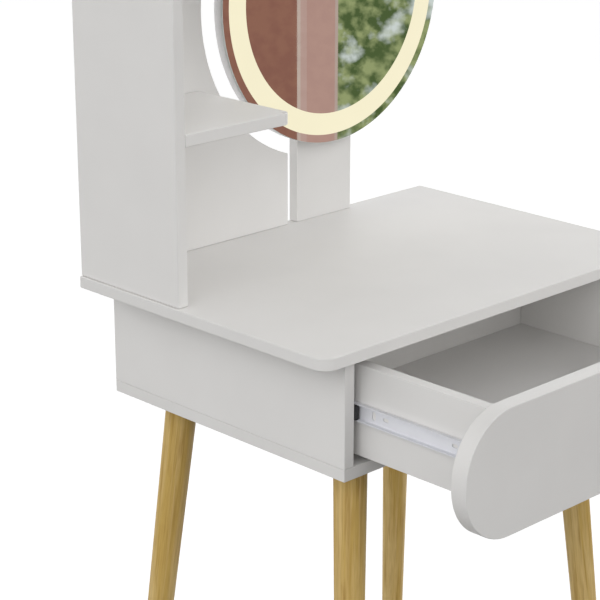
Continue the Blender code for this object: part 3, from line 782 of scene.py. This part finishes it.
def make_plate(corner):
    """The steel plate under the case that a leg screws into, with its four screws."""
    node = f"leg_plate_{corner}"
    low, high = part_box(node)
    outline = rectangle(across(Z, low), across(Z, high), PLATE_CORNER)
    work = slab(outline, low.z, high.z, Z, SHEET_EASE)
    add_piece(f"fixing_plate_{corner}", work, [ZINC], "table", [node])
    number = 0
    for x in (low.x + PLATE_SCREW_INSET, high.x - PLATE_SCREW_INSET):
        for y in (low.y + PLATE_SCREW_INSET, high.y - PLATE_SCREW_INSET):
            number += 1
            place = pose_at((x, y, low.z + PLATE_SCREW_SINK), -UP)
            make_screw(f"plate_screw_{corner}_{number}", place, [(0, 0)], 3.4 * MM, 1.6 * MM)


def make_glide(corner):
    node = f"foot_glide_{corner}"
    low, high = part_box(node)
    foot = middle_of(node)
    radius, tall = (high.x - low.x) / 2, high.z - low.z
    profile = [(0, 0)] + arc((radius - GLIDE_RIM, GLIDE_RIM), GLIDE_RIM, -90, 0)
    profile += [(radius, tall - 0.4 * MM), (radius - 0.4 * MM, tall), (0, tall)]
    work, _ = turned(profile, 64, Matrix.Translation((foot.x, foot.y, 0)))
    add_piece(f"felt_glide_{corner}", work, [FELT], "table", [node])


# --- Mirror ------------------------------------------------------------------------------------

def make_mirror():
    """One pane of glass: silvered, with a sand-blasted ring and polished edges."""
    low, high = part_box("mirror_glass")
    centre = middle_of("mirror_glass")
    radius, thick = (high.x - low.x) / 2, high.y - low.y
    ring_low, ring_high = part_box("light_diffuser")
    outer = (ring_high.x - ring_low.x) / 2
    inner = outer - RING_WIDTH
    profile = [(0, 0), (radius - GLASS_BEVEL, 0), (radius, GLASS_BEVEL), (radius, thick - GLASS_BEVEL)]
    profile += [(radius - GLASS_BEVEL, thick), (outer, thick), (outer - ETCH, thick - ETCH)]
    profile += [(inner + ETCH, thick - ETCH), (inner, thick), (0, thick)]
    work, bands = turned(profile, 240, pose_at((centre.x, high.y, centre.z), (0, -1, 0)))
    silver, frost, edge = range(3)
    looks = (edge, edge, edge, edge, silver, frost, frost, frost, silver)
    for band, look in zip(bands, looks):
        for face in band:
            face.material_index = look
    materials = [SILVERED, FROSTED, GLASS_EDGE]
    add_piece("mirror_pane", work, materials, "table", ["mirror_glass"])
    make_housing(centre)
    make_inlet()


def repaint_hidden_nodes():
    """The nodes that stay as they are, because nothing shows of them."""
    repaint("light_diffuser", FROSTED)
    repaint("led_strip", STRIP)
    repaint("led_driver", BLACK)
    repaint("touch_sensor", BLACK)
    for number in range(1, 5):
        repaint(f"standing_screw_{number}", SCREW_STEEL)
    for corner in CORNERS:
        repaint(f"leg_bolt_{corner}", SCREW_STEEL)


def make_housing(centre):
    """A spun pan with a rounded rear corner and two pressed rings in its back."""
    low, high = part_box("mirror_housing")
    radius, deep = (high.x - low.x) / 2, high.y - low.y
    corner, lip, press = 2.2 * MM, 0.4 * MM, 0.6 * MM
    outer, inner = 4 * MM, 2.5 * MM         # half widths of a pressed ring's mouth and floor
    profile = [(0, 0)]
    for ring in PRESSED_RINGS:
        profile += [(ring - outer, 0), (ring - inner, press), (ring + inner, press), (ring + outer, 0)]
    profile += arc((radius - corner, corner), corner, -90, 0)
    profile += arc((radius - lip, deep - lip), lip, 0, 90, 3)
    wall, sheet = radius - HOUSING_SHEET, HOUSING_SHEET
    profile += [(wall, deep), (wall, corner), (wall - corner + sheet, sheet), (0, sheet)]
    work, _ = turned(profile, 240, pose_at((centre.x, high.y, centre.z), (0, -1, 0)))
    inlet_low, inlet_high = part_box("power_inlet")
    hole_radius = (inlet_high.x - inlet_low.x) / 2 + GAP
    hole = bore(middle_of("power_inlet"), Y, hole_radius, high.y - 5 * MM, high.y + 5 * MM)
    work = carve(work, [hole])
    add_piece("housing_pan", work, [ALUMINIUM], "table", ["mirror_housing"])


def make_inlet():
    """A low-voltage barrel socket with its centre pin."""
    low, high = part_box("power_inlet")
    middle = middle_of("power_inlet")
    radius, long = (high.x - low.x) / 2, high.y - low.y
    throat, lead, floor, pin = radius * 0.55, 0.5 * MM, 2 * MM, 1.1 * MM
    profile = [(0, 0), (radius, 0), (radius, long - lead), (radius - lead, long)]
    profile += [(throat + lead, long), (throat, long - lead), (throat, floor), (pin, floor)]
    profile += [(pin, long - 2 * MM), (0.8 * MM, long - 1.5 * MM), (0, long - 1.5 * MM)]
    work, bands = turned(profile, 48, pose_at((middle.x, low.y, middle.z), (0, 1, 0)))
    pin_bands = bands[7:]
    for band in pin_bands:
        for face in band:
            face.material_index = 1
    add_piece("inlet_socket", work, [BLACK, SCREW_STEEL], "table", ["power_inlet"])


# --- Studio ------------------------------------------------------------------------------------

FLOOR_SIZE = 40             # metres each way, so that its edge is lost in the backdrop
GROUND = 0.11               # brightness of the soft dome below the horizon,
HORIZON = 1.33              # just above it
ZENITH = 0.10               # and overhead
CAMERA_PLACE = Vector((-1.7261, -1.5301, 1.4842))
CAMERA_TURN = math.radians(44.224)   # from +Y towards +X
CAMERA_PITCH = math.radians(18.335)  # downwards
ABOVE_TABLE = Vector((0, 0.05, 0.8))


def add_stage(name, work, material, seen_by):
    """A stage object that only the named kinds of ray meet."""
    mesh = bpy.data.meshes.new(name)
    work.to_mesh(mesh)
    work.free()
    mesh.materials.append(material)
    thing = bpy.data.objects.new(name, mesh)
    bpy.context.scene.collection.objects.link(thing)
    for ray in ("camera", "diffuse", "glossy", "transmission", "volume_scatter", "shadow"):
        setattr(thing, f"visible_{ray}", ray in seen_by)


def glowing(name, colour, strength, diffuse=(0.0, 0.0, 0.0)):
    surface = Surface(name, diffuse, 1.0, specular=0.0)
    surface.set("Emission Color", (*colour, 1))
    surface.set("Emission Strength", strength)
    return surface


def make_floor():
    work = bmesh.new()
    bmesh.ops.create_grid(work, x_segments=1, y_segments=1, size=FLOOR_SIZE)
    surface = glowing("floor", (1, 1, 1), 0.24, (0.96, 0.96, 0.96))
    add_stage("floor", work, surface.material, ("camera", "glossy"))
    work = bmesh.new()
    bmesh.ops.create_uvsphere(work, u_segments=32, v_segments=16, radius=FLOOR_SIZE * 0.99)
    add_stage("backdrop", work, glowing("backdrop", (1, 1, 1), 1.0).material, ("camera",))


def make_dome():
    """A soft white dome: dark underfoot, brightest all round the horizon and dimmer overhead."""
    world = bpy.data.worlds.new("studio")
    bpy.context.scene.world = world
    world.use_nodes = True
    nodes, links = world.node_tree.nodes, world.node_tree.links
    split = nodes.new("ShaderNodeSeparateXYZ")
    links.new(nodes.new("ShaderNodeTexCoord").outputs["Generated"], split.inputs["Vector"])

    def level(low, high, start, end):
        rise = nodes.new("ShaderNodeMapRange")
        rise.interpolation_type = "SMOOTHSTEP"
        for name, value in zip(("From Min", "From Max", "To Min", "To Max"), (low, high, start, end)):
            rise.inputs[name].default_value = value
        links.new(split.outputs["Z"], rise.inputs["Value"])
        return rise.outputs["Result"]

    rise = level(-0.06, 0.04, GROUND, HORIZON)
    fall = level(0.66, 0.84, 0, ZENITH - HORIZON)
    total = nodes.new("ShaderNodeMath")
    total.operation = "ADD"
    links.new(rise, total.inputs[0])
    links.new(fall, total.inputs[1])
    links.new(total.outputs["Value"], nodes["Background"].inputs["Strength"])
    nodes["Background"].inputs["Color"].default_value = (1, 1, 1, 1)


def area_light(name, place, size, power):
    data = bpy.data.lights.new(name, "AREA")
    data.shape = "DISK"
    data.size = size
    data.energy = power
    light = bpy.data.objects.new(name, data)
    light.location = place
    light.rotation_euler = (ABOVE_TABLE - Vector(place)).to_track_quat("-Z", "Y").to_euler()
    light.visible_camera = False
    light.visible_glossy = False
    bpy.context.scene.collection.objects.link(light)


def make_reflections():
    """Tall cards that only reflections meet: the muted colours the mirror shows in the main view.

    They stand behind the glass's image of the camera's place, turned to it, with left and right
    in metres from the middle of the mirrored view.
    """
    ahead = Vector((math.sin(CAMERA_TURN), -math.cos(CAMERA_TURN), 0))
    aside = Vector((math.cos(CAMERA_TURN), math.sin(CAMERA_TURN), 0))
    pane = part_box("mirror_glass")[0].y
    eye = Vector((CAMERA_PLACE.x, 2 * pane - CAMERA_PLACE.y, 0))
    distance, tall = 4, 1.6
    cards = (
        ("brown", -0.5, -0.006, (0.28, 0.135, 0.095), (0.25, 0.115, 0.085)),
        ("pale", -0.006, 0.001, (0.54, 0.44, 0.38), (0.51, 0.41, 0.36)),
        ("blush", 0.001, 0.014, (0.49, 0.34, 0.30), (0.47, 0.32, 0.28)),
        ("pink", 0.014, 0.072, (0.46, 0.29, 0.245), (0.44, 0.275, 0.235)),
        ("stripe", 0.072, 0.078, (0.48, 0.38, 0.33), (0.46, 0.36, 0.32)),
        ("green", 0.078, 0.6, (0.075, 0.115, 0.04), (0.30, 0.35, 0.16)),
    )
    for name, left, right, first, second in cards:
        surface = glowing(f"card_{name}", first, 1.0)
        soft = surface.remap(surface.noise(40, 6), 0.40, 0.62, 0.0, 1.0)
        colour = surface.blend(soft, first, second)
        if name == "green":
            sky = surface.remap(surface.noise(17, 4), 0.52, 0.66, 0.0, 1.0)
            colour = surface.blend(sky, colour, (0.62, 0.68, 0.66))
        surface.feed(colour, "Emission Color")
        work = bmesh.new()
        feet = [eye + ahead * distance + aside * side for side in (left, right)]
        corners = [feet[0], feet[1], feet[1] + UP * tall, feet[0] + UP * tall]
        work.faces.new([work.verts.new(corner) for corner in corners])
        add_stage(f"card_{name}", work, surface.material, ("glossy",))


def make_camera():
    data = bpy.data.cameras.new("camera")
    data.sensor_width = 36
    data.lens = 117.99
    camera = bpy.data.objects.new("camera", data)
    camera.location = CAMERA_PLACE
    camera.rotation_euler = (math.pi / 2 - CAMERA_PITCH, 0, -CAMERA_TURN)
    bpy.context.scene.collection.objects.link(camera)
    bpy.context.scene.camera = camera
    bpy.context.scene.view_settings.view_transform = "Standard"


make_camera()
make_top()
make_case()
make_hutch()
make_post()
make_drawer()
make_slides()
for number, corner in enumerate(CORNERS):
    make_leg(corner, number)
    make_plate(corner)
    make_glide(corner)
make_mirror()
repaint_hidden_nodes()
make_floor()
make_dome()
make_reflections()
area_light("left_fill", (-3.1, -1.0, 2.0), 2.4, 20)
area_light("right_key", (2.6, -0.4, 2.4), 1.4, 16)
